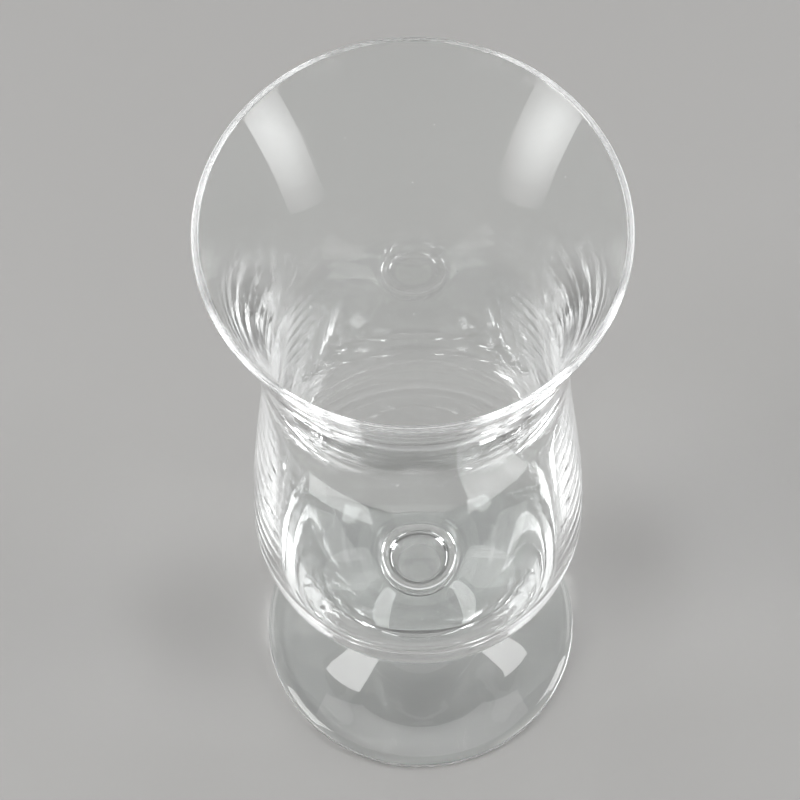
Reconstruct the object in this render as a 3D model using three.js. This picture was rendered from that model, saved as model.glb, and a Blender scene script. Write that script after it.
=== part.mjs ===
// Hurricane cocktail glass: a bowl with a round bulb, a drawn-in waist and a flared mouth,
// a short waisted stem and a round coned foot. All sizes are in millimetres, +Z is up, and
// the origin is the centre of the resting plane under the foot.

import * as THREE from 'three';

// Foot
const footDiameter = 71.5;
const footHeight = 17;
const footEdgeThickness = 3.2;
const footEdgeRoll = 2.8;
const footHeelRound = 0.8;
const footBrimWidth = 9.4;
const footBrimAngle = THREE.MathUtils.degToRad(17);
const footBrimRound = 2.7;
const footConeAngle = THREE.MathUtils.degToRad(29);
const footFilletRun = 5;
const footFilletRound = 2.5;
const restRingWidth = 2.4;
const hollowRise = 2.2;
const hollowSpread = 16;
const hollowEase = 11;

// Stem
const stemHeight = 22;
const stemFootDiameter = 18;
const stemNeckDiameter = 15;
const stemBowlDiameter = 19;
const stemFootAngle = THREE.MathUtils.degToRad(62);
const stemBowlAngle = THREE.MathUtils.degToRad(62);
const stemNeckRound = 5;
const stemEndRound = 3.2;

// Bowl, outside
const bowlFilletRun = 4.5;
const bowlFilletRise = 3.2;
const bowlFilletRound = 2;
const bowlBaseAngle = THREE.MathUtils.degToRad(12);
const bowlBaseSpread = 12;
const bulbDiameter = 72;
const bulbRise = 35;
const bulbUnderRound = 13;
const bulbOverRound = 21;
const waistDiameter = 62.4;
const waistRise = 71;
const waistUnderRound = 14;
const waistOverRound = 17;
const rimDiameter = 84;
const glassHeight = 205;
const rimAngle = THREE.MathUtils.degToRad(21);
const rimUnderRound = 20;

// Bowl, inside
const lipThickness = 1.5;
const waistWall = 2.3;
const bulbWall = 3;
const baseThickness = 8.5;
const floorSpread = 9;
const floorRise = 13;

// Smoothness of the turned surfaces
const segmentsAround = 72;
const facetLength = 6;
const fewestSteps = 3;
const mostSteps = 10;
const samePoint = 0.001;

const stemBottom = footHeight;
const stemTop = stemBottom + stemHeight;
const bulbLevel = stemTop + bulbRise;
const waistLevel = bulbLevel + waistRise;
const rimLevel = glassHeight;

const up = Math.PI / 2;
const down = -Math.PI / 2;
const inward = Math.PI;
const outward = 0;

// Adds a smooth curve that leaves its start, and arrives at its end, along two directions.
function curveTo(outline, leaving, leavingLength, end, arriving, arrivingLength) {
  const start = outline.currentPoint;
  outline.bezierCurveTo(
    start.x + leavingLength * Math.cos(leaving),
    start.y + leavingLength * Math.sin(leaving),
    end.x - arrivingLength * Math.cos(arriving),
    end.y - arrivingLength * Math.sin(arriving),
    end.x,
    end.y,
  );
}

// Points along an outline: long curves get more steps than short ones, straight lines get one.
function pointsAlong(outline) {
  const points = [outline.getPoint(0)];
  for (const curve of outline.curves) {
    const wanted = Math.round(curve.getLength() / facetLength);
    const steps = curve.isLineCurve ? 1 : THREE.MathUtils.clamp(wanted, fewestSteps, mostSteps);
    if (curve.getLength() > samePoint) points.push(...curve.getPoints(steps).slice(1));
  }
  return points;
}

function glass() {
  return new THREE.MeshStandardMaterial({
    color: 0xeef2f2,
    roughness: 0.04,
    metalness: 0,
    transparent: true,
    opacity: 0.35,
  });
}

// Turns a half outline, which starts and ends on the axis, into a solid about +Z.
function turned(name, outline) {
  const geometry = new THREE.LatheGeometry(pointsAlong(outline), segmentsAround);
  geometry.rotateX(up);
  const mesh = new THREE.Mesh(geometry, glass());
  mesh.name = name;
  return mesh;
}

// A round foot: a flat resting ring under it, a shallow hollow inside the ring, a rolled
// edge, a sloping brim, and a steeper cone that sweeps up into the seat of the stem.
function foot() {
  const radius = footDiameter / 2;
  const ringOutside = radius - footHeelRound;
  const ringInside = new THREE.Vector2(ringOutside - restRingWidth, 0);
  const rollStart = radius - footEdgeRoll;
  const rollHeight = footEdgeThickness - footHeelRound;
  const rollTurn = Math.atan2(rollHeight, footEdgeRoll * Math.tan(footBrimAngle));
  const seat = new THREE.Vector2(stemFootDiameter / 2, footHeight);
  const intoStem = Math.PI - stemFootAngle;
  const outline = new THREE.Path();
  outline.moveTo(0, hollowRise);
  curveTo(outline, outward, hollowSpread, ringInside, outward, hollowEase);
  outline.lineTo(ringOutside, 0);
  outline.absarc(ringOutside, footHeelRound, footHeelRound, down, 0, false);
  outline.absellipse(rollStart, footHeelRound, footEdgeRoll, rollHeight, 0, rollTurn, false);

  const edge = outline.currentPoint;
  const bend = radius - footBrimWidth;
  const bendLevel = edge.y + (edge.x - bend) * Math.tan(footBrimAngle);
  const coneTop = seat.x + footFilletRun;
  const coneTopLevel = bendLevel + (bend - coneTop) * Math.tan(footConeAngle);
  outline.lineTo(
    bend + footBrimRound * Math.cos(footBrimAngle),
    bendLevel - footBrimRound * Math.sin(footBrimAngle),
  );
  outline.quadraticCurveTo(
    bend,
    bendLevel,
    bend - footBrimRound * Math.cos(footConeAngle),
    bendLevel + footBrimRound * Math.sin(footConeAngle),
  );
  outline.lineTo(coneTop, coneTopLevel);
  curveTo(outline, Math.PI - footConeAngle, footFilletRound, seat, intoStem, footFilletRound);
  outline.lineTo(0, footHeight);
  return turned('foot', outline);
}

// A short solid stem, drawn in to a neck half way up, with a flat seat at each end.
function stem() {
  const neck = new THREE.Vector2(stemNeckDiameter / 2, stemBottom + stemHeight / 2);
  const top = new THREE.Vector2(stemBowlDiameter / 2, stemTop);
  const fromFoot = Math.PI - stemFootAngle;
  const outline = new THREE.Path();
  outline.moveTo(0, stemBottom);
  outline.lineTo(stemFootDiameter / 2, stemBottom);
  curveTo(outline, fromFoot, stemEndRound, neck, up, stemNeckRound);
  curveTo(outline, up, stemNeckRound, top, stemBowlAngle, stemEndRound);
  outline.lineTo(0, stemTop);
  return turned('stem', outline);
}

// The bowl: up the outside from its seat on the stem, over the rounded lip, and down the
// inside to a rounded floor that leaves a heavy base of glass.
function bowl() {
  const seat = stemBowlDiameter / 2;
  const base = new THREE.Vector2(seat + bowlFilletRun, stemTop + bowlFilletRise);
  const bulb = new THREE.Vector2(bulbDiameter / 2, bulbLevel);
  const waist = new THREE.Vector2(waistDiameter / 2, waistLevel);
  const bulbInside = new THREE.Vector2(bulb.x - bulbWall, bulbLevel);
  const waistInside = new THREE.Vector2(waist.x - waistWall, waistLevel);
  const floor = new THREE.Vector2(0, stemTop + baseThickness);
  const lip = lipThickness / 2;
  const lipCentre = new THREE.Vector2(rimDiameter / 2 - lip, rimLevel - lip);
  const acrossLip = new THREE.Vector2(Math.cos(rimAngle), -Math.sin(rimAngle)).multiplyScalar(lip);
  const flareTop = lipCentre.clone().add(acrossLip);
  const flareUp = up - rimAngle;
  const flareDown = flareUp - Math.PI;
  const outline = new THREE.Path();
  outline.moveTo(0, stemTop);
  outline.lineTo(seat, stemTop);
  curveTo(outline, stemBowlAngle, bowlFilletRound, base, bowlBaseAngle, bowlFilletRound);
  curveTo(outline, bowlBaseAngle, bowlBaseSpread, bulb, up, bulbUnderRound);
  curveTo(outline, up, bulbOverRound, waist, up, waistUnderRound);
  curveTo(outline, up, waistOverRound, flareTop, flareUp, rimUnderRound);
  outline.absarc(lipCentre.x, lipCentre.y, lip, -rimAngle, 0, false);
  outline.absarc(lipCentre.x, lipCentre.y, lip, 0, up, false);
  outline.absarc(lipCentre.x, lipCentre.y, lip, up, Math.PI - rimAngle, false);
  curveTo(outline, flareDown, rimUnderRound, waistInside, down, waistOverRound);
  curveTo(outline, down, waistUnderRound, bulbInside, down, bulbOverRound);
  curveTo(outline, down, floorRise, floor, inward, floorSpread);
  return turned('bowl', outline);
}

const cocktailGlass = new THREE.Group();
cocktailGlass.name = 'cocktail_glass';
cocktailGlass.add(foot(), stem(), bowl());

export default cocktailGlass;
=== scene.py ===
import math
from typing import NamedTuple

import bmesh
import bpy
from bpy.props import FloatProperty, FloatVectorProperty, IntProperty, PointerProperty
from mathutils import Matrix, Vector


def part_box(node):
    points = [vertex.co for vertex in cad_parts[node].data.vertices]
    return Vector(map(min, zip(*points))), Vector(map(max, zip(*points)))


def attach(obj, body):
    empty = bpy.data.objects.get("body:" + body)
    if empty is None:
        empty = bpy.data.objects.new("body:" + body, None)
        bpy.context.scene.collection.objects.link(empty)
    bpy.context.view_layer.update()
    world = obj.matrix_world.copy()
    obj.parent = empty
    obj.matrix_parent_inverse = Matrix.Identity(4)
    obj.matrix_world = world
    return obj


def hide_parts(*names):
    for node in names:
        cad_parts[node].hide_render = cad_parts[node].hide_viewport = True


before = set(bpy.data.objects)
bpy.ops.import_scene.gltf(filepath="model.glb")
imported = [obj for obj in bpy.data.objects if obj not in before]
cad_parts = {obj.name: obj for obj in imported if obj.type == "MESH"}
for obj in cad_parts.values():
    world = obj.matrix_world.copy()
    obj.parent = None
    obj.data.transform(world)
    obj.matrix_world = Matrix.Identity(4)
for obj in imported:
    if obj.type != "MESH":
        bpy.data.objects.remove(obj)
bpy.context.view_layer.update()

bl_info = {
    "name": "Hurricane Cocktail Glass",
    "version": (1, 0, 0),
    "blender": (4, 5, 0),
    "location": "View3D > Sidebar > Cocktail Glass",
    "description": "Turns a clear hurricane cocktail glass and sets a plain studio round it",
    "category": "Object",
}

MM = 0.001
UP = math.pi / 2
DOWN = -math.pi / 2
INWARD = math.pi
OUTWARD = 0.0
FULL_TURN = 2 * math.pi

FOOT_LOW, FOOT_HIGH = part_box("foot")
STEM_LOW, STEM_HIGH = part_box("stem")
BOWL_LOW, BOWL_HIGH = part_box("bowl")

# Steps along the curves of the outlines
HOLLOW_STEPS = 24
HEEL_STEPS = 8
ROLL_STEPS = 16
BRIM_STEPS = 10
FILLET_STEPS = 14
STEM_STEPS = 22
BULB_STEPS = 36
SHOULDER_STEPS = 44
FLARE_STEPS = 40
LIP_OUTER_STEPS = 4
LIP_TOP_STEPS = 8
LIP_INNER_STEPS = 6

# Turned surfaces: how near two points count as one, how sharp an edge stays sharp, and the broad lobes
# by which a wall strays from round, which fade out near the axis
SAME_POINT = 0.0005 * MM
CREASE_ANGLE = math.radians(35.0)
LOBES_PER_RADIAN = 1.3
LOBES_PER_METRE = 14.0
LOBES_FADE_RADIUS = 6.0 * MM
NO_SEAM = -1.0

# Clear glass, and the handling marks, wipe marks and dust on it: how close they lie, and the values of
# their patterns between which they fade in
REFRACTIVE_INDEX = 1.52
SMUDGES_PER_METRE = 38.0
SMUDGE_FADE = (0.52, 0.78)
WIPES_PER_METRE = 420.0
WIPE_FADE = (0.35, 0.75)
SPECK_CELLS_PER_METRE = 230.0
SPECK_FADE = (0.05, 0.03)
SPECK_ROUGHNESS = 0.5

# Floor: its size and paint, and the distances between which its tone evens out
FLOOR_RADIUS = 6.0
FLOOR_SIDES = 96
FLOOR_GAP = 0.25 * MM
FLOOR_ROUGHNESS = 0.8
FLOOR_SHINE = 0.2
NEAR_FLOOR = 0.20
FAR_FLOOR = 0.60

# Room: its colour, and the heights, as sines, between which it goes from pale to dim
ROOM_COLOUR = (1.0, 0.99, 0.98, 1.0)
PALE_BELOW = 0.08
DIM_ABOVE = 0.32

# Camera: its sensor in millimetres, and the nearest thing that it sees
SENSOR_WIDTH = 36.0
CLIP_START = 10.0 * MM


class Softbox(NamedTuple):
    """A soft panel: its bearing and height in degrees, its size in metres, and its brightness setting."""

    name: str
    bearing: float
    height: float
    across: float
    high: float
    setting: str


# Softboxes stand round the base of the bowl and face it
SOFTBOX_AIM = Vector((0.0, 0.0, 50.0 * MM))
SOFTBOX_DISTANCE = 1.0
SOFTBOXES = (
    Softbox("left_softbox", -160.0, 11.0, 0.42, 0.40, "side_light"),
    Softbox("right_softbox", -4.0, 11.0, 0.30, 0.40, "side_light"),
    Softbox("left_upper_softbox", -160.0, 34.0, 0.42, 0.40, "upper_light"),
    Softbox("right_upper_softbox", -4.0, 34.0, 0.30, 0.40, "upper_light"),
    Softbox("left_back_softbox", 153.0, 14.0, 0.55, 0.48, "back_light"),
    Softbox("right_back_softbox", 27.0, 14.0, 0.55, 0.48, "back_light"),
)

# Two gridded strips stand low beside the glass and shine up at the far side of its mouth. The places are
# the right one's, and the left one mirrors them. Each has its side and its width.
STRIP_PLACE = Vector((0.16, -0.055, 0.068))
STRIP_AIM = Vector((-0.034, 0.022, 0.198))
STRIP_HIGH = 0.15
STRIP_BEAM = math.radians(36.0)
STRIPS = {"left_strip": (-1.0, 0.085), "right_strip": (1.0, 0.065)}

# A wide panel hangs overhead, a little behind the glass, and faces straight down
TOP_PLACE = Vector((0.0, 0.45, 1.5))
TOP_AIM = Vector((0.0, 0.45, 0.0))
TOP_ACROSS = 1.6
TOP_HIGH = 2.1


def length(name, description, default):
    """A size in metres that the sidebar shows."""
    return FloatProperty(
        name=name,
        description=description,
        default=default,
        min=0.0,
        precision=5,
        unit="LENGTH",
        subtype="DISTANCE",
    )


def angle(name, description, degrees):
    """An angle, written in degrees."""
    return FloatProperty(
        name=name, description=description, default=math.radians(degrees), subtype="ANGLE")


def colour(name, description, default):
    """A linear colour."""
    return FloatVectorProperty(
        name=name, description=description, default=default, size=3, min=0.0, max=1.0, subtype="COLOR")


def amount(name, description, default):
    """A plain number of zero or more."""
    return FloatProperty(name=name, description=description, default=default, min=0.0, precision=4)


def whole(name, description, default, least):
    """A whole number that isn't under the least one."""
    return IntProperty(name=name, description=description, default=default, min=least)


class FootSettings(bpy.types.PropertyGroup):
    """Sizes of the round foot"""

    diameter: length("Diameter", "Across the foot", FOOT_HIGH[0] - FOOT_LOW[0])
    height: length("Height", "From the table to the seat of the stem", FOOT_HIGH[2])
    edge_thickness: length("Edge Thickness", "Height of the rolled edge", 3.2 * MM)
    edge_roll: length("Edge Roll", "How far in the rolled edge reaches", 2.8 * MM)
    heel_round: length("Heel Round", "Rounding under the edge", 0.8 * MM)
    brim_width: length("Brim Width", "From the edge to where the cone begins", 9.4 * MM)
    brim_angle: angle("Brim Angle", "Slope of the top near the edge", 17.0)
    brim_round: length("Brim Round", "Rounding between the brim and the cone", 2.7 * MM)
    cone_angle: angle("Cone Angle", "Slope of the top nearer the stem", 29.0)
    fillet_run: length("Fillet Run", "Width of the sweep into the stem", 5.0 * MM)
    fillet_round: length("Fillet Round", "Fullness of the sweep into the stem", 2.5 * MM)
    ring_width: length("Resting Ring", "Width of the flat ring under the foot", 2.4 * MM)
    hollow_rise: length("Hollow Rise", "Depth of the hollow inside the ring", 2.2 * MM)
    hollow_spread: length("Hollow Spread", "Flatness of the hollow's middle", 16.0 * MM)
    hollow_ease: length("Hollow Ease", "How gently the hollow meets the ring", 11.0 * MM)


class StemSettings(bpy.types.PropertyGroup):
    """Sizes of the short stem"""

    foot_diameter: length("Foot End", "Across the seat on the foot", 18.0 * MM)
    neck_diameter: length("Neck", "Across the slimmest place", 15.0 * MM)
    bowl_diameter: length("Bowl End", "Across the seat under the bowl", STEM_HIGH[0] - STEM_LOW[0])
    bottom: length("Bottom", "Level of the seat on the foot", STEM_LOW[2])
    top: length("Top", "Level of the seat under the bowl", STEM_HIGH[2])
    lean: angle("Seat Lean", "Slope of the stem's side at both seats", 62.0)
    neck_round: length("Neck Round", "Fullness of the curve at the neck", 5.0 * MM)
    end_round: length("End Round", "Fullness of the curve at the seats", 3.2 * MM)


class BowlSettings(bpy.types.PropertyGroup):
    """Sizes of the bowl"""

    fillet_run: length("Fillet Run", "Width of the sweep out of the stem", 4.5 * MM)
    fillet_rise: length("Fillet Rise", "Height of the sweep out of the stem", 3.2 * MM)
    fillet_round: length("Fillet Round", "Fullness of the sweep out of the stem", 2.0 * MM)
    base_angle: angle("Base Angle", "Slope of the bowl's underside", 12.0)
    base_spread: length("Base Spread", "Fullness of the underside", 12.0 * MM)
    bulb_diameter: length("Bulb", "Across the bulb", 72.0 * MM)
    bulb_rise: length("Bulb Rise", "From the stem to the widest place", 35.0 * MM)
    bulb_under: length("Under the Bulb", "Fullness below the widest place", 13.0 * MM)
    bulb_over: length("Over the Bulb", "Fullness above the widest place", 21.0 * MM)
    waist_diameter: length("Waist", "Across the drawn-in waist", 62.4 * MM)
    waist_rise: length("Waist Rise", "From the bulb to the waist", 71.0 * MM)
    waist_under: length("Under the Waist", "Fullness below the waist", 14.0 * MM)
    waist_over: length("Over the Waist", "Fullness above the waist", 17.0 * MM)
    rim_diameter: length("Rim", "Across the mouth", BOWL_HIGH[0] - BOWL_LOW[0])
    rim_level: length("Rim Level", "Height of the lip over the table", BOWL_HIGH[2])
    rim_angle: angle("Rim Angle", "How far the mouth leans out at the lip", 21.0)
    rim_under: length("Under the Rim", "Fullness below the lip", 20.0 * MM)
    lip: length("Lip", "Thickness of the rounded lip", 1.5 * MM)
    waist_wall: length("Waist Wall", "Thickness of the glass at the waist", 2.3 * MM)
    bulb_wall: length("Bulb Wall", "Thickness of the glass at the bulb", 3.0 * MM)
    base: length("Base", "Thickness of the glass under the drink", 8.5 * MM)
    floor_spread: length("Floor Spread", "Flatness of the bowl's floor", 9.0 * MM)
    floor_rise: length("Floor Rise", "Fullness of the bowl's inner round", 13.0 * MM)


class GlassSettings(bpy.types.PropertyGroup):
    """Finish of the clear glass"""

    steps_around: whole("Steps Around", "Facets of a turned piece round the axis", 320, 16)
    wander: length("Wander", "How far the hand-worked wall strays from round", 0.06 * MM)
    tint: colour("Tint", "Colour of thick glass", (0.972, 0.986, 0.982))
    ripple: length("Ripple", "Depth of the drawn ripples along the wall", 0.010 * MM)
    polish: amount("Polish Roughness", "Roughness of the clean polished surface", 0.0)
    smudge: amount("Smudge Roughness", "Added roughness where the glass was handled", 0.035)
    dust: amount("Dust", "Share of the surface cells that hold a speck", 0.10)


class StageSettings(bpy.types.PropertyGroup):
    """Floor, light and camera"""

    floor_colour: colour("Floor", "Colour of the plain floor", (0.43, 0.425, 0.418))
    distant_floor: amount("Distant Floor", "Tone of the floor further off, as a share of its colour", 0.9)
    side_light: amount("Side Softboxes", "Brightness of the two low panels beside the glass", 8.0)
    upper_light: amount("Upper Softboxes", "Brightness of the two panels above those", 6.5)
    back_light: amount("Back Softboxes", "Brightness of the two dim panels behind the glass", 2.0)
    strip_light: amount("Low Strips", "Brightness of the two gridded strips aimed up at the mouth", 3.5)
    top_light: amount("Top Softbox", "Brightness of the wide panel overhead", 1.3)
    horizon: amount("Horizon", "Brightness of the room at eye level", 0.40)
    zenith: amount("Zenith", "Brightness of the room overhead", 0.05)
    bounces: whole("Bounces", "Turns that light may take inside the glass", 160, 4)
    elevation: angle("Elevation", "Height of the camera over the horizon", 66.17)
    distance: length("Distance", "From the middle of the glass to the camera", 848.76 * MM)
    pan: angle("Pan", "Turn of the camera to its left", 0.23)
    tilt: angle("Tilt", "Turn of the camera upwards", 0.70)
    roll: angle("Roll", "Turn of the camera about its line of sight", 1.13)
    lens: FloatProperty(name="Lens", description="Focal length in millimetres", default=180.0, min=1.0)


class Outline:
    """Half of a turned piece's section: points of radius and height, from the axis and back to it."""

    def __init__(self, radius, height):
        self.points = [Vector((radius, height))]

    def line(self, radius, height):
        """A straight line to a point."""
        self.points.append(Vector((radius, height)))

    def curve(self, leaving, leaving_length, end, arriving, arriving_length, steps):
        """A smooth curve that leaves its start, and arrives at its end, along two directions."""
        start = self.points[-1]
        stop = Vector(end)
        first = start + leaving_length * Vector((math.cos(leaving), math.sin(leaving)))
        second = stop - arriving_length * Vector((math.cos(arriving), math.sin(arriving)))
        for step in range(1, steps + 1):
            t = step / steps
            u = 1.0 - t
            self.points.append(
                u**3 * start + 3 * u * u * t * first + 3 * u * t * t * second + t**3 * stop)

    def arc(self, centre, across, high, begin, end, steps):
        """Part of an ellipse with half sizes across and high."""
        for step in range(1, steps + 1):
            turned = begin + (end - begin) * step / steps
            self.line(centre[0] + across * math.cos(turned), centre[1] + high * math.sin(turned))

    def mesh(self, name):
        """The outline as a chain of edges in the XZ plane."""
        mesh = bpy.data.meshes.new(name)
        chain = [(n, n + 1) for n in range(len(self.points) - 1)]
        mesh.from_pydata([(p.x, 0.0, p.y) for p in self.points], chain, [])
        return mesh


class Wiring:
    """Adds nodes to a tree and links them, with values set by socket name or number."""

    def __init__(self, tree):
        self.tree = tree

    def add(self, kind, inputs=None, **settings):
        """A node with its settings, whose inputs are linked to sockets or set to values."""
        node = self.tree.nodes.new(kind)
        for key, value in settings.items():
            setattr(node, key, value)
        for key, value in (inputs or {}).items():
            if isinstance(value, bpy.types.NodeSocket):
                self.tree.links.new(value, node.inputs[key])
            else:
                node.inputs[key].default_value = value
        return node

    def math(self, operation, first, second=0.0):
        """A number worked out from one or two others."""
        return self.add("ShaderNodeMath", {0: first, 1: second}, operation=operation).outputs[0]

    def vector(self, operation, first, second=(0.0, 0.0, 0.0)):
        """A vector worked out from one or two others."""
        node = self.add("ShaderNodeVectorMath", {0: first, 1: second}, operation=operation)
        return node.outputs["Vector"]

    def scaled(self, vector, factor):
        """A vector times a number."""
        node = self.add("ShaderNodeVectorMath", {0: vector, "Scale": factor}, operation="SCALE")
        return node.outputs["Vector"]

    def size(self, vector):
        """The length of a vector."""
        return self.add("ShaderNodeVectorMath", {0: vector}, operation="LENGTH").outputs["Value"]

    def parts(self, vector):
        """The X, Y and Z of a vector, by name."""
        return self.add("ShaderNodeSeparateXYZ", {0: vector}).outputs

    def joined(self, **parts):
        """A vector from its X, Y and Z, with 0 for those that aren't given."""
        return self.add("ShaderNodeCombineXYZ", parts).outputs[0]

    def remap(self, value, low, high, to_low=0.0, to_high=1.0, smooth=False):
        """A number brought from one range to another, and held inside that."""
        node = self.add(
            "ShaderNodeMapRange",
            {"Value": value, "From Min": low, "From Max": high, "To Min": to_low, "To Max": to_high},
            interpolation_type="SMOOTHSTEP" if smooth else "LINEAR")
        return node.outputs["Result"]

    def round_the_axis(self, position, around, along):
        """Coordinates for a pattern that closes on itself: around for a radian, along for a metre."""
        place = self.parts(position)
        ring = self.scaled(self.vector("NORMALIZE", self.joined(X=place["X"], Y=place["Y"])), around)
        rise = self.joined(Z=self.math("MULTIPLY", place["Z"], along))
        return self.vector("ADD", ring, rise)

    def noise(self, vector, scale=1.0, detail=2.0, roughness=0.5):
        """A soft random value from 0 to 1."""
        node = self.add(
            "ShaderNodeTexNoise",
            {"Vector": vector, "Scale": scale, "Detail": detail, "Roughness": roughness})
        return node.outputs[0]


def turning_tree():
    """The node tree that turns a half outline about the axis and lets the wall stray from round."""
    tree = bpy.data.node_groups.new("turned_glass", "GeometryNodeTree")
    sockets = (
        ("Geometry", "NodeSocketGeometry"),
        ("Steps Around", "NodeSocketInt"),
        ("Wander", "NodeSocketFloat"),
        ("Crease Angle", "NodeSocketFloat"),
        ("Lower Seam", "NodeSocketFloat"),
        ("Upper Seam", "NodeSocketFloat"),
        ("Glass", "NodeSocketMaterial"),
        ("Seam", "NodeSocketMaterial"),
    )
    for name, kind in sockets:
        tree.interface.new_socket(name, in_out="INPUT", socket_type=kind)
    tree.interface.new_socket("Geometry", in_out="OUTPUT", socket_type="NodeSocketGeometry")
    wiring = Wiring(tree)
    given = wiring.add("NodeGroupInput").outputs
    place = wiring.add("GeometryNodeInputPosition").outputs[0]

    # A grid with a row for each point of the outline, which is bent round the axis
    outline = wiring.add("GeometryNodeAttributeDomainSize", {"Geometry": given["Geometry"]})
    row = wiring.math("ADD", given["Steps Around"], 1.0)
    grid = wiring.add(
        "GeometryNodeMeshGrid", {"Vertices X": outline.outputs["Point Count"], "Vertices Y": row})
    index = wiring.add("GeometryNodeInputIndex").outputs[0]
    along = wiring.math("FLOOR", wiring.math("DIVIDE", index, row))
    step = wiring.math("SUBTRACT", index, wiring.math("MULTIPLY", along, row))
    turned = wiring.math("DIVIDE", wiring.math("MULTIPLY", step, FULL_TURN), given["Steps Around"])
    point = wiring.add(
        "GeometryNodeSampleIndex",
        {"Geometry": given["Geometry"], "Value": place, "Index": along},
        data_type="FLOAT_VECTOR",
        domain="POINT")
    section = wiring.parts(point.outputs["Value"])
    bent = wiring.joined(
        X=wiring.math("MULTIPLY", section["X"], wiring.math("COSINE", turned)),
        Y=wiring.math("MULTIPLY", section["X"], wiring.math("SINE", turned)),
        Z=section["Z"])
    skin = wiring.add("GeometryNodeSetPosition", {"Geometry": grid.outputs["Mesh"], "Position": bent})
    closed = wiring.add(
        "GeometryNodeMergeByDistance", {"Geometry": skin.outputs[0], "Distance": SAME_POINT})

    # The wall strays inwards only, so that the piece keeps inside its box
    parts = wiring.parts(place)
    flat = wiring.joined(X=parts["X"], Y=parts["Y"])
    lobes = wiring.noise(wiring.round_the_axis(place, LOBES_PER_RADIAN, LOBES_PER_METRE), detail=1.0)
    reach = wiring.math("MULTIPLY", lobes, wiring.remap(wiring.size(flat), 0.0, LOBES_FADE_RADIUS))
    inwards = wiring.math("MULTIPLY", wiring.math("MULTIPLY", reach, given["Wander"]), -1.0)
    stray = wiring.scaled(wiring.vector("NORMALIZE", flat), inwards)
    worked = wiring.add("GeometryNodeSetPosition", {"Geometry": closed.outputs[0], "Offset": stray})

    # Smooth all over but for the sharp edges of the seats
    smooth = wiring.add(
        "GeometryNodeSetShadeSmooth",
        {"Geometry": worked.outputs[0], "Shade Smooth": True},
        domain="FACE")
    bend = wiring.add("GeometryNodeInputMeshEdgeAngle").outputs["Unsigned Angle"]
    crease = wiring.add(
        "FunctionNodeCompare",
        {0: bend, 1: given["Crease Angle"]},
        data_type="FLOAT",
        operation="GREATER_THAN")
    creased = wiring.add(
        "GeometryNodeSetShadeSmooth",
        {"Geometry": smooth.outputs[0], "Selection": crease.outputs[0], "Shade Smooth": False},
        domain="EDGE")

    # Clear glass, with the seats that meet another piece as fused seams
    lower, upper = [
        wiring.add(
            "FunctionNodeCompare",
            {0: parts["Z"], 1: given[name], "Epsilon": SAME_POINT},
            data_type="FLOAT",
            operation="EQUAL").outputs[0]
        for name in ("Lower Seam", "Upper Seam")
    ]
    seam = wiring.add("FunctionNodeBooleanMath", {0: lower, 1: upper}, operation="OR")
    real = wiring.add("GeometryNodeRealizeInstances", {"Geometry": creased.outputs[0]})
    clear = wiring.add(
        "GeometryNodeSetMaterial", {"Geometry": real.outputs[0], "Material": given["Glass"]})
    fused = wiring.add(
        "GeometryNodeSetMaterial",
        {"Geometry": clear.outputs[0], "Selection": seam.outputs[0], "Material": given["Seam"]})
    wiring.add("NodeGroupOutput", {"Geometry": fused.outputs[0]})
    return tree


def cleared(block):
    """The wiring of a material's or a room's nodes, with none there yet."""
    block.use_nodes = True
    block.node_tree.nodes.clear()
    return Wiring(block.node_tree)


def seam_material():
    """Fused seam between two pieces: light passes straight on, as inside one body of glass."""
    material = bpy.data.materials.get("fused_seam")
    if material:
        return material
    material = bpy.data.materials.new("fused_seam")
    wiring = cleared(material)
    clear = wiring.add("ShaderNodeBsdfTransparent", {"Color": (1.0, 1.0, 1.0, 1.0)})
    wiring.add("ShaderNodeOutputMaterial", {"Surface": clear.outputs[0]})
    return material


def clear_glass(name, settings, ripples, ripple_length, swirls_per_metre):
    """Clear polished glass with drawn ripples, faint handling marks and a few specks of dust."""
    material = bpy.data.materials.new(name)
    wiring = cleared(material)
    place = wiring.add("ShaderNodeTexCoord").outputs["Object"]

    drawn = wiring.noise(
        wiring.round_the_axis(place, ripples / FULL_TURN, 1.0 / ripple_length), detail=1.0)
    ripple = wiring.add("ShaderNodeBump", {"Strength": 1.0, "Distance": settings.ripple, "Height": drawn})
    uneven = wiring.noise(place, scale=swirls_per_metre, detail=1.0)
    bump = wiring.add("ShaderNodeBump", {
        "Strength": 1.0,
        "Distance": settings.ripple,
        "Height": uneven,
        "Normal": ripple.outputs[0],
    })

    smudges = wiring.noise(place, scale=SMUDGES_PER_METRE, detail=4.0, roughness=0.6)
    patches = wiring.remap(smudges, *SMUDGE_FADE, smooth=True)
    wiped = wiring.remap(wiring.noise(place, scale=WIPES_PER_METRE), *WIPE_FADE)
    handled = wiring.math("MULTIPLY", wiring.math("MULTIPLY", patches, wiped), settings.smudge)
    cells = wiring.add(
        "ShaderNodeTexVoronoi", {"Vector": place, "Scale": SPECK_CELLS_PER_METRE}, feature="F1")
    draw = wiring.add("ShaderNodeSeparateColor", {0: cells.outputs["Color"]}).outputs[0]
    chosen = wiring.math("LESS_THAN", draw, settings.dust)
    speck = wiring.math("MULTIPLY", wiring.remap(cells.outputs["Distance"], *SPECK_FADE), chosen)
    roughness = wiring.math(
        "ADD",
        wiring.math("ADD", handled, settings.polish),
        wiring.math("MULTIPLY", speck, SPECK_ROUGHNESS))

    shader = wiring.add("ShaderNodeBsdfPrincipled", {
        "Base Color": (*settings.tint, 1.0),
        "Roughness": roughness,
        "IOR": REFRACTIVE_INDEX,
        "Transmission Weight": 1.0,
        "Normal": bump.outputs[0],
    })
    wiring.add("ShaderNodeOutputMaterial", {"Surface": shader.outputs[0]})
    return material


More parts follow.
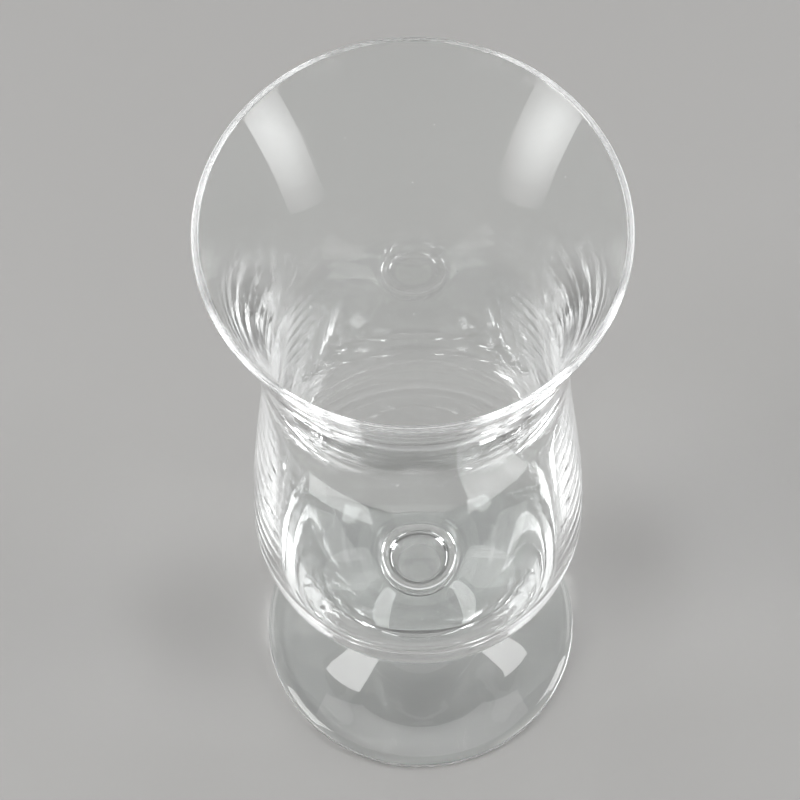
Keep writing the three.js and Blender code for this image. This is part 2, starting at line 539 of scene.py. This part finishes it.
def turn(name, outline, settings, glass, lower_seam=NO_SEAM, upper_seam=NO_SEAM):
    """Turns an outline into a plain mesh object that stands for the CAD node of the same name."""
    tree = bpy.data.node_groups.get("turned_glass") or turning_tree()
    sketch = bpy.data.objects.new(name + "_outline", outline.mesh(name + "_outline"))
    bpy.context.scene.collection.objects.link(sketch)
    modifier = sketch.modifiers.new("turned", "NODES")
    modifier.node_group = tree
    values = {
        "Steps Around": settings.steps_around,
        "Wander": settings.wander,
        "Crease Angle": CREASE_ANGLE,
        "Lower Seam": lower_seam,
        "Upper Seam": upper_seam,
        "Glass": glass,
        "Seam": seam_material(),
    }
    for item in tree.interface.items_tree:
        if item.in_out == "INPUT" and item.name in values:
            modifier[item.identifier] = values[item.name]
    evaluated = sketch.evaluated_get(bpy.context.evaluated_depsgraph_get())
    mesh = bpy.data.meshes.new_from_object(evaluated)
    mesh.name = "glass_" + name
    bpy.data.objects.remove(sketch)

    shape = bmesh.new()
    shape.from_mesh(mesh)
    open_edges = [edge for edge in shape.edges if len(edge.link_faces) != 2]
    if open_edges:
        raise RuntimeError(f"The {name} isn't closed: {len(open_edges)} open edges")
    if shape.calc_volume(signed=True) < 0.0:
        bmesh.ops.reverse_faces(shape, faces=shape.faces)
        shape.to_mesh(mesh)
    shape.free()

    piece = bpy.data.objects.new("glass_" + name, mesh)
    bpy.context.scene.collection.objects.link(piece)
    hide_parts(name)
    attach(piece, "root")


class COCKTAIL_OT_foot(bpy.types.Operator):
    """Turn the round foot, with its resting ring, shallow hollow, rolled edge, brim and cone"""

    bl_idname = "cocktail_glass.turn_foot"
    bl_label = "Turn the Foot"

    def execute(self, context):
        foot = context.scene.cocktail_foot
        stem = context.scene.cocktail_stem
        finish = context.scene.cocktail_finish
        radius = foot.diameter / 2
        ring_outside = radius - foot.heel_round
        ring_inside = ring_outside - foot.ring_width
        roll_start = radius - foot.edge_roll
        roll_height = foot.edge_thickness - foot.heel_round
        roll_turn = math.atan2(roll_height, foot.edge_roll * math.tan(foot.brim_angle))
        seat = stem.foot_diameter / 2
        up_brim = math.pi - foot.brim_angle
        up_cone = math.pi - foot.cone_angle
        up_stem = math.pi - stem.lean
        outline = Outline(0.0, foot.hollow_rise)
        outline.curve(
            OUTWARD, foot.hollow_spread, (ring_inside, 0.0), OUTWARD, foot.hollow_ease, HOLLOW_STEPS)
        outline.line(ring_outside, 0.0)
        outline.arc(
            (ring_outside, foot.heel_round), foot.heel_round, foot.heel_round, DOWN, 0.0, HEEL_STEPS)
        outline.arc(
            (roll_start, foot.heel_round), foot.edge_roll, roll_height, 0.0, roll_turn, ROLL_STEPS)

        # The brim and the cone meet in a rounding, whose handles make it a quadratic curve
        edge = outline.points[-1]
        bend = radius - foot.brim_width
        bend_level = edge.y + (edge.x - bend) * math.tan(foot.brim_angle)
        cone_top = seat + foot.fillet_run
        cone_top_level = bend_level + (bend - cone_top) * math.tan(foot.cone_angle)
        brim_way = Vector((math.cos(foot.brim_angle), -math.sin(foot.brim_angle)))
        cone_way = Vector((-math.cos(foot.cone_angle), math.sin(foot.cone_angle)))
        brim_end = Vector((bend, bend_level)) + foot.brim_round * brim_way
        cone_start = Vector((bend, bend_level)) + foot.brim_round * cone_way
        handle = foot.brim_round * 2 / 3
        outline.line(*brim_end)
        outline.curve(up_brim, handle, cone_start, up_cone, handle, BRIM_STEPS)
        outline.line(cone_top, cone_top_level)
        outline.curve(
            up_cone, foot.fillet_round, (seat, foot.height), up_stem, foot.fillet_round, FILLET_STEPS)
        outline.line(0.0, foot.height)
        glass = clear_glass(
            "foot_glass", finish, ripples=24.0, ripple_length=60.0 * MM, swirls_per_metre=70.0)
        turn("foot", outline, finish, glass, upper_seam=foot.height)
        return {"FINISHED"}


class COCKTAIL_OT_stem(bpy.types.Operator):
    """Turn the short solid stem, drawn in to a neck half way up"""

    bl_idname = "cocktail_glass.turn_stem"
    bl_label = "Turn the Stem"

    def execute(self, context):
        stem = context.scene.cocktail_stem
        finish = context.scene.cocktail_finish
        neck = (stem.neck_diameter / 2, (stem.bottom + stem.top) / 2)
        bowl_end = (stem.bowl_diameter / 2, stem.top)
        outline = Outline(0.0, stem.bottom)
        outline.line(stem.foot_diameter / 2, stem.bottom)
        outline.curve(math.pi - stem.lean, stem.end_round, neck, UP, stem.neck_round, STEM_STEPS)
        outline.curve(UP, stem.neck_round, bowl_end, stem.lean, stem.end_round, STEM_STEPS)
        outline.line(0.0, stem.top)
        glass = clear_glass(
            "stem_glass", finish, ripples=16.0, ripple_length=40.0 * MM, swirls_per_metre=90.0)
        turn("stem", outline, finish, glass, lower_seam=stem.bottom, upper_seam=stem.top)
        return {"FINISHED"}


class COCKTAIL_OT_bowl(bpy.types.Operator):
    """Turn the bowl: heavy base, round bulb, drawn-in waist, flared mouth and rounded lip"""

    bl_idname = "cocktail_glass.turn_bowl"
    bl_label = "Turn the Bowl"

    def execute(self, context):
        bowl = context.scene.cocktail_bowl
        stem = context.scene.cocktail_stem
        finish = context.scene.cocktail_finish
        seat = stem.bowl_diameter / 2
        base = (seat + bowl.fillet_run, stem.top + bowl.fillet_rise)
        bulb = (bowl.bulb_diameter / 2, stem.top + bowl.bulb_rise)
        waist = (bowl.waist_diameter / 2, bulb[1] + bowl.waist_rise)
        bulb_inside = (bulb[0] - bowl.bulb_wall, bulb[1])
        waist_inside = (waist[0] - bowl.waist_wall, waist[1])
        floor = (0.0, stem.top + bowl.base)
        lip = bowl.lip / 2
        lip_centre = (bowl.rim_diameter / 2 - lip, bowl.rim_level - lip)
        flare_top = (
            lip_centre[0] + lip * math.cos(bowl.rim_angle),
            lip_centre[1] - lip * math.sin(bowl.rim_angle),
        )
        flare_up = UP - bowl.rim_angle
        flare_down = flare_up - math.pi
        outline = Outline(0.0, stem.top)
        outline.line(seat, stem.top)
        outline.curve(
            stem.lean, bowl.fillet_round, base, bowl.base_angle, bowl.fillet_round, FILLET_STEPS)
        outline.curve(bowl.base_angle, bowl.base_spread, bulb, UP, bowl.bulb_under, BULB_STEPS)
        outline.curve(UP, bowl.bulb_over, waist, UP, bowl.waist_under, SHOULDER_STEPS)
        outline.curve(UP, bowl.waist_over, flare_top, flare_up, bowl.rim_under, FLARE_STEPS)
        outline.arc(lip_centre, lip, lip, -bowl.rim_angle, 0.0, LIP_OUTER_STEPS)
        outline.arc(lip_centre, lip, lip, 0.0, UP, LIP_TOP_STEPS)
        outline.arc(lip_centre, lip, lip, UP, math.pi - bowl.rim_angle, LIP_INNER_STEPS)
        outline.curve(flare_down, bowl.rim_under, waist_inside, DOWN, bowl.waist_over, FLARE_STEPS)
        outline.curve(DOWN, bowl.waist_under, bulb_inside, DOWN, bowl.bulb_over, SHOULDER_STEPS)
        outline.curve(DOWN, bowl.floor_rise, floor, INWARD, bowl.floor_spread, BULB_STEPS)
        glass = clear_glass(
            "bowl_glass", finish, ripples=48.0, ripple_length=60.0 * MM, swirls_per_metre=40.0)
        turn("bowl", outline, finish, glass, lower_seam=stem.top)
        return {"FINISHED"}


def panel_lamp(name, place, target, across, high, brightness, beam=math.pi):
    """A soft flat lamp, seen by the glass and not by the camera, whose beam a grid can narrow."""
    lamp = bpy.data.lights.new(name, "AREA")
    lamp.shape = "RECTANGLE"
    lamp.size = across
    lamp.size_y = high
    lamp.spread = beam
    # The share of its light that a grid lets through, so that the panel looks as bright with it
    let_through = 1.0 if beam == math.pi else 1.0 - beam / 2 / math.tan(beam / 2)
    lamp.energy = brightness * math.pi * across * high * let_through
    holder = bpy.data.objects.new(name, lamp)
    holder.location = place
    holder.rotation_euler = (target - place).to_track_quat("-Z", "Y").to_euler()
    holder.visible_camera = False
    bpy.context.scene.collection.objects.link(holder)


def studio_lamps(settings):
    """Softboxes beside and behind the glass, two low strips and a wide panel overhead."""
    for box in SOFTBOXES:
        bearing = Matrix.Rotation(math.radians(box.bearing), 3, "Z")
        height = Matrix.Rotation(math.radians(-box.height), 3, "Y")
        place = SOFTBOX_AIM + bearing @ height @ Vector((SOFTBOX_DISTANCE, 0.0, 0.0))
        brightness = getattr(settings, box.setting)
        panel_lamp(box.name, place, SOFTBOX_AIM, box.across, box.high, brightness)
    for name, (side, across) in STRIPS.items():
        mirror = Vector((side, 1.0, 1.0))
        place = STRIP_PLACE * mirror
        aim = STRIP_AIM * mirror
        panel_lamp(name, place, aim, across, STRIP_HIGH, settings.strip_light, STRIP_BEAM)
    panel_lamp("top_softbox", TOP_PLACE, TOP_AIM, TOP_ACROSS, TOP_HIGH, settings.top_light)


def floor_paint(settings):
    """Matt paint that takes the glass's shadow near by, and keeps one pale tone further off."""
    material = bpy.data.materials.new("pale_floor")
    wiring = cleared(material)
    off = wiring.size(wiring.add("ShaderNodeTexCoord").outputs["Object"])
    path = wiring.add("ShaderNodeLightPath").outputs
    mirrored = wiring.math("MAXIMUM", path["Is Glossy Ray"], path["Is Transmission Ray"])
    seen = wiring.math("MAXIMUM", path["Is Camera Ray"], mirrored)
    share = wiring.math("MULTIPLY", seen, wiring.remap(off, NEAR_FLOOR, FAR_FLOOR, smooth=True))
    paint = wiring.add("ShaderNodeBsdfPrincipled", {
        "Base Color": (*settings.floor_colour, 1.0),
        "Roughness": FLOOR_ROUGHNESS,
        "Specular IOR Level": FLOOR_SHINE,
    })
    distant = wiring.add("ShaderNodeEmission", {
        "Color": (*settings.floor_colour, 1.0),
        "Strength": settings.distant_floor,
    })
    mix = wiring.add("ShaderNodeMixShader", {0: share, 1: paint.outputs[0], 2: distant.outputs[0]})
    wiring.add("ShaderNodeOutputMaterial", {"Surface": mix.outputs[0]})
    return material


def studio_floor(settings):
    """A wide plain floor just under the foot."""
    turns = [FULL_TURN * n / FLOOR_SIDES for n in range(FLOOR_SIDES)]
    ring = [(FLOOR_RADIUS * math.cos(t), FLOOR_RADIUS * math.sin(t), -FLOOR_GAP) for t in turns]
    mesh = bpy.data.meshes.new("studio_floor")
    mesh.from_pydata(ring, [], [tuple(range(FLOOR_SIDES))])
    mesh.materials.append(floor_paint(settings))
    floor = bpy.data.objects.new("studio_floor", mesh)
    bpy.context.scene.collection.objects.link(floor)


def studio_room(settings):
    """A soft room that is paler at eye level than overhead."""
    world = bpy.data.worlds.new("studio_room")
    wiring = cleared(world)
    way = wiring.parts(wiring.add("ShaderNodeTexCoord").outputs["Generated"])
    strength = wiring.remap(
        way["Z"], PALE_BELOW, DIM_ABOVE, settings.horizon, settings.zenith, smooth=True)
    light = wiring.add("ShaderNodeBackground", {"Color": ROOM_COLOUR, "Strength": strength})
    wiring.add("ShaderNodeOutputWorld", {"Surface": light.outputs[0]})
    bpy.context.scene.world = world


def studio_camera(settings):
    """The camera at the photograph's viewing angle."""
    middle = Vector((0.0, 0.0, BOWL_HIGH[2] / 2))
    back = Vector((0.0, -math.cos(settings.elevation), math.sin(settings.elevation)))
    facing = (
        Matrix.Rotation(UP - settings.elevation, 4, "X")
        @ Matrix.Rotation(settings.pan, 4, "Y")
        @ Matrix.Rotation(settings.tilt, 4, "X")
        @ Matrix.Rotation(-settings.roll, 4, "Z")
    )
    camera = bpy.data.cameras.new("studio_camera")
    camera.sensor_width = SENSOR_WIDTH
    camera.sensor_fit = "HORIZONTAL"
    camera.lens = settings.lens
    camera.clip_start = CLIP_START
    holder = bpy.data.objects.new("studio_camera", camera)
    holder.matrix_world = Matrix.Translation(middle + back * settings.distance) @ facing
    bpy.context.scene.collection.objects.link(holder)
    bpy.context.scene.camera = holder


class COCKTAIL_OT_stage(bpy.types.Operator):
    """Set the plain pale floor, the soft lamps, the room and the camera"""

    bl_idname = "cocktail_glass.set_stage"
    bl_label = "Set the Stage"

    def execute(self, context):
        settings = context.scene.cocktail_stage
        studio_floor(settings)
        studio_room(settings)
        studio_camera(settings)
        studio_lamps(settings)
        context.scene.view_settings.view_transform = "Standard"
        # Light that has passed the glass stays sharp, or the floor under the foot would be too dark
        context.scene.cycles.blur_glossy = 0.0
        context.scene.cycles.max_bounces = settings.bounces
        context.scene.cycles.transmission_bounces = settings.bounces
        context.scene.cycles.glossy_bounces = settings.bounces
        context.scene.cycles.transparent_max_bounces = settings.bounces
        return {"FINISHED"}


class COCKTAIL_PT_sidebar(bpy.types.Panel):
    """Sizes, finish and stage of the cocktail glass"""

    bl_idname = "COCKTAIL_PT_sidebar"
    bl_label = "Cocktail Glass"
    bl_space_type = "VIEW_3D"
    bl_region_type = "UI"
    bl_category = "Cocktail Glass"

    def draw(self, context):
        groups = (
            ("Foot", context.scene.cocktail_foot, COCKTAIL_OT_foot),
            ("Stem", context.scene.cocktail_stem, COCKTAIL_OT_stem),
            ("Bowl", context.scene.cocktail_bowl, COCKTAIL_OT_bowl),
            ("Finish", context.scene.cocktail_finish, None),
            ("Stage", context.scene.cocktail_stage, COCKTAIL_OT_stage),
        )
        for heading, settings, operator in groups:
            box = self.layout.box()
            box.label(text=heading)
            for key in settings.__annotations__:
                box.prop(settings, key)
            if operator:
                box.operator(operator.bl_idname)


SETTINGS = {
    "cocktail_foot": FootSettings,
    "cocktail_stem": StemSettings,
    "cocktail_bowl": BowlSettings,
    "cocktail_finish": GlassSettings,
    "cocktail_stage": StageSettings,
}
TOOLS = (COCKTAIL_OT_foot, COCKTAIL_OT_stem, COCKTAIL_OT_bowl, COCKTAIL_OT_stage, COCKTAIL_PT_sidebar)


def register():
    for cls in (*SETTINGS.values(), *TOOLS):
        bpy.utils.register_class(cls)
    for name, cls in SETTINGS.items():
        setattr(bpy.types.Scene, name, PointerProperty(type=cls))


def unregister():
    for name in SETTINGS:
        delattr(bpy.types.Scene, name)
    for cls in reversed((*SETTINGS.values(), *TOOLS)):
        bpy.utils.unregister_class(cls)


def main():
    register()
    bpy.ops.cocktail_glass.set_stage()
    bpy.ops.cocktail_glass.turn_foot()
    bpy.ops.cocktail_glass.turn_stem()
    bpy.ops.cocktail_glass.turn_bowl()


if __name__ == "__main__":
    main()
